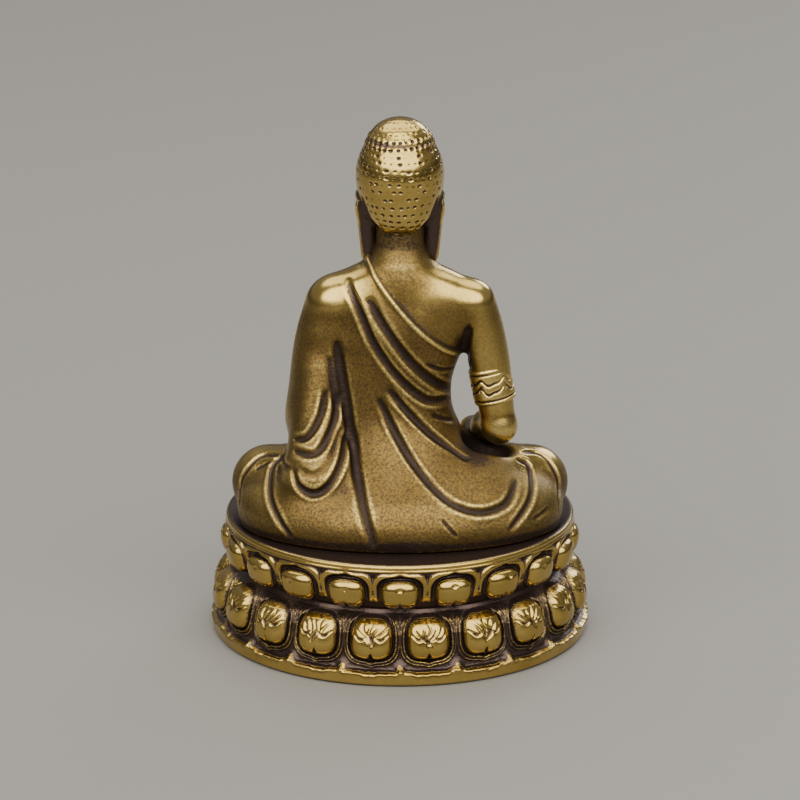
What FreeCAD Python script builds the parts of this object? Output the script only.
"""Seated Buddha statuette on a double lotus throne, cast in brass, in millimetres.

The origin is the centre of the foot of the throne, +Z is up and the figure faces -Y, so its right hand
is on the -X side. The statuette is built as it comes apart on a bench: a hollow cast throne, a hollow
cast figure held down on it by two screws, a head on a neck tenon, a right forearm whose joint is hidden
by an armlet, a left hand let into the sleeve, and a copper plate that closes the foot.
"""

import FreeCAD, Part
import Sketcher
import os

from FreeCAD import Placement, Rotation, Vector

DOC = FreeCAD.newDocument("buddha_statue")
SHEET = DOC.addObject("Spreadsheet::Sheet", "Sizes")

# Driving dimensions in millimetres, and the counts.
SIZES = {
    # throne
    "foot_radius": 30.0,
    "foot_chamfer": 0.5,
    "foot_band": 2.2,
    "foot_step": 0.6,
    "lower_leaf_radius": 28.2,
    "waist_radius": 26.0,
    "waist_level": 11.4,
    "waist_half": 0.5,
    "upper_leaf_radius": 27.2,
    "throne_height": 19.2,
    "rim_radius": 27.4,
    "rim_height": 0.8,
    "rim_chamfer": 0.6,
    "throne_cavity": 23.4,
    "platform_thick": 2.2,
    "petal_count": 20,
    "lower_lobe_level": 7.2,
    "lower_lobe_wide": 3.7,
    "lower_lobe_tall": 3.5,
    "lower_lobe_proud": 1.7,
    "upper_lobe_level": 14.6,
    "upper_lobe_wide": 3.6,
    "upper_lobe_tall": 2.6,
    "upper_lobe_proud": 1.7,
    "core_opening": 6.6,
    "screw_hole": 1.6,
    "screw_spacing": 13.5,
    # copper plate that closes the foot
    "plate_radius": 26.0,
    "plate_seat": 26.05,
    "plate_thick": 0.9,
    "plate_level": 1.4,
    "plate_edge": 0.2,
    "plate_gap": 0.01,
    # figure
    "seat_wide": 25.2,
    "seat_deep": 14.8,
    "chest_wide": 11.9,
    "waist_wide": 8.4,
    "knee_radius": 5.3,
    "ankle_radius": 3.4,
    "shoulder_radius": 3.5,
    "arm_radius": 3.0,
    "sleeve_radius": 3.5,
    "elbow_radius": 3.1,
    "wrist_radius": 2.1,
    "cuff_radius": 2.7,
    "neck_radius": 3.7,
    "neck_level": 65.6,
    "tenon_radius": 2.2,
    "tenon_height": 3.6,
    "figure_cavity": 6.4,
    "cavity_top": 2.0,
    # head
    "skull_wide": 7.0,
    "skull_deep": 7.5,
    "skull_tall": 7.9,
    "face_wide": 5.9,
    "face_deep": 6.4,
    "face_tall": 7.3,
    "crown_radius": 4.4,
    "crown_tall": 4.6,
    "ear_thick": 1.0,
    "ear_deep": 1.9,
    "ear_tall": 5.9,
    "statue_height": 84.4,
    # right forearm joint
    "armlet_height": 5.8,
    "armlet_proud": 0.45,
    "spigot_radius": 1.4,
    "spigot_length": 4.0,
    # hands
    "finger_radius": 0.62,
    "finger_length": 4.4,
    "palm_long": 2.6,
    "palm_wide": 2.3,
    "palm_thick": 0.95,
    # screws and washers
    "screw_radius": 1.45,
    "screw_reach": 7.4,
    "screw_head": 2.7,
    "screw_head_tall": 1.8,
    "washer_radius": 3.3,
    "washer_thick": 0.5,
    "fit_gap": 0.05,
}
for row, (alias, value) in enumerate(SIZES.items(), start=1):
    SHEET.set(f"A{row}", alias)
    SHEET.set(f"B{row}", str(value))
    SHEET.setAlias(f"B{row}", alias)
DOC.recompute()

# Joints of the seated body, as (x, y, z). Right is -X.
SPINE_Y = 3.0
THRONE_TOP = SIZES["throne_height"]
RIGHT_SHOULDER = Vector(-12.0, 3.4, 55.4)
RIGHT_ELBOW = Vector(-15.7, 4.0, 35.0)
RIGHT_WRIST = Vector(-12.9, -8.0, 31.4)
RIGHT_FINGERTIPS = Vector(-12.5, -12.0, 22.6)
LEFT_SHOULDER = Vector(12.0, 3.4, 55.4)
LEFT_ELBOW = Vector(13.8, 5.0, 35.0)
LEFT_CUFF = Vector(5.6, -6.2, 31.4)
LEFT_PALM = Vector(0.2, -8.2, 30.6)
KNEE = Vector(20.8, 0.8, 24.1)
RIGHT_ANKLE = Vector(5.0, -11.4, 25.6)
LEFT_ANKLE = Vector(-5.0, -13.0, 22.7)
LAP = Vector(0, -5.0, 24.0)
RIGHT_FOOT = Vector(8.6, -7.2, 29.2)
HEAD_Y = 0.9
SKULL_LEVEL = 73.0
FACE_LEVEL = 70.8
EAR_LEVEL = 66.9
ARMLET_AT = 0.68  # share of the way from the right shoulder to the right elbow


def size(alias):
    """The value of one driving dimension, read back from the sheet."""
    return float(SHEET.get(alias))


def bind(feature, **properties):
    """Binds each named property of a feature to an expression on the sheet."""
    for name, expression in properties.items():
        feature.setExpression(name, expression)
    return feature


def primitive(kind, name, placement=None, **properties):
    """A Part primitive whose sizes are bound to the sheet."""
    feature = bind(DOC.addObject("Part::" + kind, name), **properties)
    if placement is not None:
        feature.Placement = placement
    return feature


def fuse(name, *shapes):
    feature = DOC.addObject("Part::MultiFuse", name)
    feature.Shapes = list(shapes)
    return feature


def cut(name, base, tool):
    feature = DOC.addObject("Part::Cut", name)
    feature.Base, feature.Tool = base, tool
    return feature


def at(x, y, z, rotation=None):
    return Placement(Vector(x, y, z), rotation or Rotation())


def along(start, end):
    """The placement that carries the +Z axis from start towards end."""
    return Placement(start, Rotation(Vector(0, 0, 1), end - start))


def ball(name, centre, radius):
    return primitive("Sphere", name, Placement(centre, Rotation()), Radius=radius)


def rod(name, start, end, start_radius, end_radius):
    """A cone or cylinder between two points."""
    length = str((end - start).Length)
    if start_radius == end_radius:
        return primitive("Cylinder", name, along(start, end), Radius=start_radius, Height=length)
    return primitive(
        "Cone", name, along(start, end), Radius1=start_radius, Radius2=end_radius, Height=length
    )


def limb(name, start, end, start_radius, end_radius):
    """A tapered limb with rounded ends: a cone between two balls."""
    return [
        ball(name + "_start", start, start_radius),
        rod(name + "_shaft", start, end, start_radius, end_radius),
        ball(name + "_end", end, end_radius),
    ]


def ellipsoid(name, centre, x_radius, y_radius, z_radius, rotation=None):
    """An ellipsoid by its half sizes along its own x, y and z."""
    return primitive(
        "Ellipsoid",
        name,
        Placement(centre, rotation or Rotation()),
        Radius1=z_radius,
        Radius2=x_radius,
        Radius3=y_radius,
    )


def total(*terms):
    """A sum of driving dimensions, as its number and its sheet expression. A leading minus takes one away."""
    signed = [(-1, term[1:]) if term.startswith("-") else (1, term) for term in terms]
    number = sum(sign * size(alias) for sign, alias in signed)
    expression = "0" + "".join(f" {'-' if sign < 0 else '+'} Sizes.{alias}" for sign, alias in signed)
    return number, expression


def origin_feature(body, role):
    return next(f for f in body.Origin.OriginFeatures if f.Role == role)


def profile(body, name, corners):
    """A closed sketch on the body's XZ plane. Each corner is (radius, level), both made by total()."""
    sketch = body.newObject("Sketcher::SketchObject", name)
    sketch.AttachmentSupport = [(origin_feature(body, "XZ_Plane"), "")]
    sketch.MapMode = "FlatFace"
    points = [Vector(radius[0], level[0], 0) for radius, level in corners]
    count = len(points)
    for i in range(count):
        sketch.addGeometry(Part.LineSegment(points[i], points[(i + 1) % count]), False)
    for i in range(count):
        sketch.addConstraint(Sketcher.Constraint("Coincident", i, 2, (i + 1) % count, 1))
    for i, (radius, level) in enumerate(corners):
        for kind, (value, expression), axis in (("DistanceX", radius, -2), ("DistanceY", level, -1)):
            if abs(value) < 1e-9:
                sketch.addConstraint(Sketcher.Constraint("PointOnObject", i, 1, axis))
                continue
            index = sketch.addConstraint(Sketcher.Constraint(kind, -1, 1, i, 1, value))
            sketch.setExpression(f"Constraints[{index}]", expression)
    return sketch


def revolve(body, name, corners):
    """A full revolution about Z of a closed profile."""
    sketch = profile(body, name + "_sketch", corners)
    feature = body.newObject("PartDesign::Revolution", name)
    feature.Profile = sketch
    feature.ReferenceAxis = (origin_feature(body, "Z_Axis"), [""])
    feature.Angle = 360
    DOC.recompute()
    return feature


def lobe_ring(body, name, **properties):
    """A ring of bulging petal lobes, as one ellipsoid and a polar pattern of it."""
    lobe = body.newObject("PartDesign::AdditiveEllipsoid", name)
    lobe.AttachmentSupport = [(origin_feature(body, "XY_Plane"), "")]
    lobe.MapMode = "FlatFace"
    bind(lobe, **properties)
    DOC.recompute()
    ring = body.newObject("PartDesign::PolarPattern", name + "s")
    ring.Originals = [lobe]
    ring.Axis = (origin_feature(body, "Z_Axis"), [""])
    ring.Angle = 360
    bind(ring, Occurrences="Sizes.petal_count")
    body.Tip = ring
    DOC.recompute()
    return ring


def drill(body, name, places, radius):
    """Round holes straight through the platform, at (x, y) expressions."""
    sketch = body.newObject("Sketcher::SketchObject", name + "_sketch")
    sketch.AttachmentSupport = [(origin_feature(body, "XY_Plane"), "")]
    sketch.MapMode = "FlatFace"
    sketch.AttachmentOffset = at(0, 0, THRONE_TOP + 1)
    for i, (x, y) in enumerate(places):
        sketch.addGeometry(Part.Circle(Vector(x, y, 0), Vector(0, 0, 1), size(radius)), False)
        index = sketch.addConstraint(Sketcher.Constraint("Radius", i, size(radius)))
        sketch.setExpression(f"Constraints[{index}]", "Sizes." + radius)
    pocket = body.newObject("PartDesign::Pocket", name)
    pocket.Profile = sketch
    pocket.Length = THRONE_TOP
    before = body.Shape.Volume
    DOC.recompute()
    if pocket.Shape.Volume > before - 1:
        raise RuntimeError(f"{name} cut nothing")
    return pocket


def make_lotus_base():
    """The throne: a hollow turned shell with two rings of petal lobes, and holes in its platform."""
    body = DOC.addObject("PartDesign::Body", "lotus_base")
    nothing = total()
    seat, foot, cavity = total("plate_seat"), total("foot_radius"), total("throne_cavity")
    leaf, waist = total("lower_leaf_radius"), total("waist_radius")
    top, under = total("throne_height"), total("throne_height", "-platform_thick")
    plate_top = total("plate_level", "plate_thick")
    revolve(
        body,
        "throne",
        [
            (seat, nothing),
            (total("foot_radius", "-foot_chamfer"), nothing),
            (foot, total("foot_chamfer")),
            (foot, total("foot_band")),
            (leaf, total("foot_band", "foot_step")),
            (leaf, total("lower_lobe_level")),
            (waist, total("waist_level", "-waist_half")),
            (waist, total("waist_level", "waist_half")),
            (total("upper_leaf_radius"), total("upper_lobe_level")),
            (total("rim_radius"), total("throne_height", "-rim_height")),
            (total("rim_radius", "-rim_chamfer"), top),
            (nothing, top),
            (nothing, under),
            (cavity, under),
            (cavity, plate_top),
            (seat, plate_top),
        ],
    )
    for row, radius, turn in (("lower", "lower_leaf_radius", 0.5), ("upper", "upper_leaf_radius", 0.0)):
        reach = f"(Sizes.{radius} - Sizes.{row}_lobe_proud * 0.5)"
        bearing = f"({turn} * 360deg / Sizes.petal_count)"
        place = ".AttachmentOffset.Base."
        lobe_ring(
            body,
            row + "_lobe",
            Radius1=f"Sizes.{row}_lobe_tall",
            Radius2=f"Sizes.{row}_lobe_wide",
            Radius3=f"Sizes.{row}_lobe_proud * 1.5",
            **{
                place + "x": f"{reach} * sin{bearing}",
                place + "y": f"{reach} * cos{bearing}",
                place + "z": f"Sizes.{row}_lobe_level",
                ".AttachmentOffset.Rotation.Angle": f"-{bearing}",
            },
        )
    spacing = size("screw_spacing")
    drill(body, "core_opening", [(0, SPINE_Y)], "core_opening")
    drill(body, "screw_holes", [(-spacing, SPINE_Y), (spacing, SPINE_Y)], "screw_hole")
    body.Tip = body.Group[-1]
    return body


def make_base_plate():
    """The copper plate let into the foot, with a softened lower edge."""
    body = DOC.addObject("PartDesign::Body", "base_plate")
    nothing, plate = total(), total("plate_radius")
    foot, top = total("plate_level"), total("plate_level", "plate_thick", "-plate_gap")
    revolve(
        body,
        "plate",
        [
            (nothing, foot),
            (total("plate_radius", "-plate_edge"), foot),
            (plate, total("plate_level", "plate_edge")),
            (plate, top),
            (nothing, top),
        ],
    )
    return body


def torso_loft():
    """The robed seat, waist, chest and shoulders as ellipses: (level, half width, half depth, y)."""
    sections = [
        (THRONE_TOP, "Sizes.seat_wide - 0.4", "Sizes.seat_deep - 0.3", 5.4),
        (22.5, "Sizes.seat_wide", "Sizes.seat_deep", 5.3),
        (26.0, "Sizes.seat_wide * 0.93", "Sizes.seat_deep * 0.93", 5.0),
        (29.0, "Sizes.seat_wide * 0.74", "Sizes.seat_deep * 0.78", 4.6),
        (32.0, "Sizes.seat_wide * 0.48", "Sizes.seat_deep * 0.62", 4.1),
        (36.0, "Sizes.waist_wide * 1.1", "Sizes.waist_wide * 0.86", 3.6),
        (41.0, "Sizes.waist_wide", "Sizes.waist_wide * 0.76", 3.2),
        (47.0, "Sizes.waist_wide * 1.16", "Sizes.waist_wide * 0.78", SPINE_Y),
        (52.0, "Sizes.chest_wide * 0.97", "Sizes.waist_wide * 0.76", SPINE_Y),
        (56.0, "Sizes.chest_wide * 0.97", "Sizes.waist_wide * 0.66", SPINE_Y),
        (59.2, "Sizes.chest_wide * 0.68", "Sizes.waist_wide * 0.54", 2.8),
        (61.6, "Sizes.neck_radius * 1.15", "Sizes.neck_radius * 1.1", 2.5),
    ]
    rings = []
    for i, (level, wide, deep, y) in enumerate(sections):
        rings.append(
            primitive("Ellipse", f"torso_ring_{i}", at(0, y, level), MajorRadius=wide, MinorRadius=deep)
        )
    loft = DOC.addObject("Part::Loft", "torso_loft")
    loft.Sections = rings
    loft.Solid = True
    return loft


def armlet_frame():
    """The middle of the armlet on the right arm's axis, and the axis's direction towards the elbow."""
    axis = RIGHT_ELBOW - RIGHT_SHOULDER
    middle = RIGHT_SHOULDER + axis * ARMLET_AT
    return middle, axis.normalize()


def make_figure_body():
    """The seated body with its robe, left sleeve, right upper arm and neck, hollow from below."""
    middle, axis = armlet_frame()
    neck_foot = Vector(0, SPINE_Y - 0.6, 59.0)
    neck_top = Vector(0, HEAD_Y + 0.7, size("neck_level"))
    right_knee = Vector(-KNEE.x, KNEE.y, KNEE.z)
    solids = [torso_loft()]
    solids += limb("right_shin", right_knee, RIGHT_ANKLE, "Sizes.knee_radius", "Sizes.ankle_radius")
    solids += limb("left_shin", KNEE, LEFT_ANKLE, "Sizes.knee_radius", "Sizes.ankle_radius")
    solids += [
        ellipsoid("shoulder_yoke", Vector(0, SPINE_Y, 54.6), "Sizes.chest_wide * 1.16", "5.0", "5.2"),
        rod("robe_side", Vector(8.2, 3.4, 51.0), Vector(9.4, 4.2, 31.0), "4.6", "5.4"),
        ball("right_shoulder", RIGHT_SHOULDER, "Sizes.shoulder_radius"),
        rod("right_upper_arm", RIGHT_SHOULDER, middle, "Sizes.shoulder_radius", "Sizes.arm_radius"),
    ]
    solids += limb("left_sleeve", LEFT_SHOULDER, LEFT_ELBOW, "Sizes.shoulder_radius", "Sizes.sleeve_radius")
    solids += [
        rod("left_cuff_shaft", LEFT_ELBOW, LEFT_CUFF, "Sizes.sleeve_radius", "Sizes.cuff_radius"),
        rod("neck", neck_foot, neck_top, "Sizes.neck_radius", "Sizes.neck_radius"),
        primitive(
            "Cylinder",
            "neck_tenon",
            at(0, neck_top.y, neck_top.z - 1),
            Radius="Sizes.tenon_radius",
            Height="Sizes.tenon_height + 1",
        ),
        ellipsoid("lap", LAP, "13", "9.4", "6.2"),
        ellipsoid("right_foot", RIGHT_FOOT, "4.6", "2.1", "1.3", Rotation(Vector(0, 0, 1), 24)),
    ]
    figure = fuse("figure_solid", *solids)
    spacing = size("screw_spacing")
    floor_cut = primitive(
        "Box", "under_throne_top", at(-40, -40, 0), Length="80", Width="80", Height="Sizes.throne_height"
    )
    cavity = primitive(
        "Cone",
        "figure_cavity",
        at(0, SPINE_Y, THRONE_TOP - 0.1),
        Radius1="Sizes.figure_cavity",
        Radius2="Sizes.cavity_top",
        Height="38",
    )
    screw_bores = [
        primitive(
            "Cylinder",
            f"{side}_screw_bore",
            at(sign * spacing, SPINE_Y, THRONE_TOP - 0.1),
            Radius="Sizes.screw_radius + Sizes.fit_gap",
            Height="Sizes.screw_reach - 0.8",
        )
        for side, sign in (("right", -1), ("left", 1))
    ]
    spigot_bore = primitive(
        "Cylinder",
        "spigot_bore",
        Placement(middle + axis * 0.01, Rotation(Vector(0, 0, 1), axis * -1)),
        Radius="Sizes.spigot_radius + Sizes.fit_gap",
        Height="Sizes.spigot_length + 0.3",
    )
    hand_direction = (LEFT_PALM - LEFT_CUFF).normalize()
    hand_bore = primitive(
        "Cylinder",
        "hand_bore",
        Placement(LEFT_CUFF + hand_direction * 4.0, Rotation(Vector(0, 0, 1), hand_direction * -1)),
        Radius="Sizes.wrist_radius + Sizes.fit_gap",
        Height="8",
    )
    tools = fuse("figure_tools", floor_cut, cavity, *screw_bores, spigot_bore, hand_bore)
    return cut("figure_body", figure, tools)


def make_head():
    """The head with its crown of curls, face and long ears, and the socket for the neck."""
    skull_centre = Vector(0, HEAD_Y, SKULL_LEVEL)
    face_centre = Vector(0, HEAD_Y - 1.5, FACE_LEVEL)
    nose_centre = Vector(0, HEAD_Y - 7.5, FACE_LEVEL - 0.6)
    crown = Vector(0, HEAD_Y + 0.9, size("statue_height") - size("crown_tall"))
    solids = [
        ellipsoid("skull", skull_centre, "Sizes.skull_wide", "Sizes.skull_deep", "Sizes.skull_tall"),
        ellipsoid("crown", crown, "Sizes.crown_radius", "Sizes.crown_radius", "Sizes.crown_tall"),
        ellipsoid("face", face_centre, "Sizes.face_wide", "Sizes.face_deep", "Sizes.face_tall"),
        ellipsoid("nose", nose_centre, "0.75", "1.0", "2.0", Rotation(Vector(1, 0, 0), -12)),
    ]
    for side, sign in (("right", -1), ("left", 1)):
        solids.append(
            ellipsoid(
                side + "_ear",
                Vector(sign * 6.3, HEAD_Y + 0.2, EAR_LEVEL),
                "Sizes.ear_thick",
                "Sizes.ear_deep",
                "Sizes.ear_tall",
                Rotation(Vector(0, 1, 0), sign * 5.0),
            )
        )
    neck_foot = Vector(0, SPINE_Y - 0.6, 59.0)
    neck_top = Vector(0, HEAD_Y + 0.7, size("neck_level"))
    neck_bore = "Sizes.neck_radius + 0.04"
    socket = rod("neck_socket", neck_foot, neck_top, neck_bore, neck_bore)
    tenon_socket = primitive(
        "Cylinder",
        "tenon_socket",
        at(0, neck_top.y, neck_top.z - 1),
        Radius="Sizes.tenon_radius + Sizes.fit_gap",
        Height="Sizes.tenon_height + 1.3",
    )
    return cut("head", fuse("head_solid", *solids), fuse("head_tools", socket, tenon_socket))


def fingers(name, root, tip, across, spread):
    """Four fingers side by side from root towards tip, one finger's width apart along across."""
    made = []
    for i in range(4):
        shift = across * ((i - 1.5) * spread)
        made += limb(
            f"{name}_{i}", root + shift, tip + shift, "Sizes.finger_radius", "Sizes.finger_radius * 0.85"
        )
    return made


def make_right_forearm():
    """Elbow, forearm and hand that reaches down over the shin, with the spigot that enters the upper arm."""
    middle, axis = armlet_frame()
    down = (RIGHT_FINGERTIPS - RIGHT_WRIST).normalize()
    palm = RIGHT_WRIST + down * 2.6
    knuckles = RIGHT_WRIST + down * 4.4
    solids = [
        rod("arm_end", middle + axis * size("fit_gap"), RIGHT_ELBOW, "Sizes.arm_radius", "Sizes.arm_radius"),
        ball("right_elbow", RIGHT_ELBOW, "Sizes.elbow_radius"),
        rod("forearm_shaft", RIGHT_ELBOW, RIGHT_WRIST, "Sizes.elbow_radius - 0.1", "Sizes.wrist_radius"),
        ball("right_wrist", RIGHT_WRIST, "Sizes.wrist_radius"),
        primitive(
            "Cylinder",
            "right_spigot",
            Placement(middle + axis, Rotation(Vector(0, 0, 1), axis * -1)),
            Radius="Sizes.spigot_radius",
            Height="Sizes.spigot_length + 1",
        ),
        ellipsoid(
            "right_palm",
            palm,
            "Sizes.palm_wide",
            "Sizes.palm_thick * 1.2",
            "Sizes.palm_long",
            Rotation(Vector(0, 0, 1), down),
        ),
    ]
    solids += fingers("right_finger", knuckles, RIGHT_FINGERTIPS, Vector(1, 0, 0), 1.08)
    return cut("right_forearm", fuse("right_forearm_solid", *solids), leg_clearance())


def leg_clearance():
    """The right knee and shin a little oversize, to keep the resting hand clear of the leg."""
    right_knee = Vector(-KNEE.x, KNEE.y, KNEE.z)
    return fuse(
        "leg_clearance",
        rod("shin_clearance", right_knee, RIGHT_ANKLE, "Sizes.knee_radius + 0.1", "Sizes.ankle_radius + 0.1"),
        ball("knee_clearance", right_knee, "Sizes.knee_radius + 0.1"),
    )


def make_armlet():
    """A band round the arm that hides the forearm's joint."""
    middle, axis = armlet_frame()
    start = middle - axis * (size("armlet_height") / 2)
    outside = primitive(
        "Cylinder",
        "armlet_outside",
        Placement(start, Rotation(Vector(0, 0, 1), axis)),
        Radius="Sizes.arm_radius + Sizes.armlet_proud + 0.1",
        Height="Sizes.armlet_height",
    )
    upper_arm = rod(
        "armlet_seat_above",
        RIGHT_SHOULDER,
        middle,
        "Sizes.shoulder_radius + 0.04",
        "Sizes.arm_radius + 0.04",
    )
    lower_arm = rod(
        "armlet_seat_below", middle - axis, RIGHT_ELBOW, "Sizes.arm_radius + 0.04", "Sizes.arm_radius + 0.04"
    )
    return cut("armlet", outside, fuse("armlet_tools", upper_arm, lower_arm))


def make_left_hand():
    """The left hand lying palm up in the lap, with its wrist in the sleeve."""
    direction = (LEFT_PALM - LEFT_CUFF).normalize()
    wrist_start = LEFT_CUFF - direction * 2.5
    palm = LEFT_PALM + Vector(0.3, 0, 0)
    root = Vector(palm.x - 1.6, palm.y, palm.z)
    tip = root + Vector(-1.0, -0.1, -0.02) * size("finger_length")
    solids = [
        rod("left_wrist", wrist_start, LEFT_PALM, "Sizes.wrist_radius", "Sizes.wrist_radius * 0.55"),
        ellipsoid("left_palm", palm, "Sizes.palm_long * 1.2", "Sizes.palm_wide", "Sizes.palm_thick * 1.1"),
    ]
    solids += fingers("left_finger", root, tip, Vector(0, 1, 0), 1.08)
    solids += limb(
        "left_thumb",
        palm + Vector(0.9, -1.4, 0.7),
        palm + Vector(-2.4, -1.9, 1.5),
        "Sizes.finger_radius",
        "Sizes.finger_radius * 0.9",
    )
    return cut("left_hand", fuse("left_hand_solid", *solids), hand_clearance())


def hand_clearance():
    """The lap, the foot and the shin just oversize, to keep the hand clear of what it lies on."""
    return fuse(
        "hand_clearance",
        ellipsoid("lap_clearance", LAP, "13.1", "9.5", "6.3"),
        ellipsoid("foot_clearance", RIGHT_FOOT, "4.7", "2.2", "1.4", Rotation(Vector(0, 0, 1), 24)),
        ball("ankle_clearance", RIGHT_ANKLE, "Sizes.ankle_radius + 0.1"),
    )


def pair(name, parts):
    """Identical separate solids in one node."""
    feature = DOC.addObject("Part::Compound", name)
    feature.Links = parts
    return feature


def make_fixing_screws():
    """Two cheese-head screws, from inside the throne up into the figure's thighs."""
    made = []
    underside = THRONE_TOP - size("platform_thick")
    for side, sign in (("right", -1), ("left", 1)):
        x = sign * size("screw_spacing")
        head_top = underside - size("washer_thick")
        head_foot = head_top - size("screw_head_tall")
        head = primitive(
            "Cylinder", side + "_screw_head", at(x, SPINE_Y, head_foot), Radius="Sizes.screw_head",
            Height="Sizes.screw_head_tall"
        )
        shank = primitive(
            "Cylinder", side + "_screw_shank", at(x, SPINE_Y, head_foot + 0.5), Radius="Sizes.screw_radius",
            Height="Sizes.screw_reach + 1.4"
        )
        slot = primitive(
            "Box", side + "_screw_slot", at(x - 3, SPINE_Y - 0.35, head_foot - 0.2), Length="6", Width="0.7",
            Height="1.0"
        )
        made.append(cut(side + "_screw", fuse(side + "_screw_solid", head, shank), slot))
    return pair("fixing_screws", made)


def make_fixing_washers():
    """A washer under each screw head."""
    made = []
    foot = THRONE_TOP - size("platform_thick") - size("washer_thick")
    for side, sign in (("right", -1), ("left", 1)):
        x = sign * size("screw_spacing")
        disc = primitive(
            "Cylinder", side + "_washer_disc", at(x, SPINE_Y, foot), Radius="Sizes.washer_radius",
            Height="Sizes.washer_thick"
        )
        hole = primitive(
            "Cylinder", side + "_washer_hole", at(x, SPINE_Y, foot - 1), Radius="Sizes.screw_radius + 0.1",
            Height="Sizes.washer_thick + 2"
        )
        made.append(cut(side + "_washer", disc, hole))
    return pair("fixing_washers", made)


def check(parts):
    """Stops on a failed feature or a part that isn't one or more valid closed solids."""
    failed = [f.Name for f in DOC.Objects if {"Invalid", "Error"} & set(f.State)]
    if failed:
        raise RuntimeError(f"failed features: {failed}")
    for part in parts:
        shape = part.Shape
        if shape.isNull() or not shape.isValid() or not shape.Solids:
            raise RuntimeError(f"{part.Name} has no valid solid")
        print(f"{part.Name:16s} solids {len(shape.Solids)} volume {shape.Volume:9.1f} mm3")


PARTS = [
    make_lotus_base(),
    make_base_plate(),
    make_figure_body(),
    make_head(),
    make_right_forearm(),
    make_armlet(),
    make_left_hand(),
    make_fixing_screws(),
    make_fixing_washers(),
]
for made_part in PARTS:
    made_part.Label = made_part.Name
DOC.recompute()
check(PARTS)
os.makedirs("parts", exist_ok=True)
for made_part in PARTS:
    made_part.Shape.exportStep(f"parts/{made_part.Label}.step")
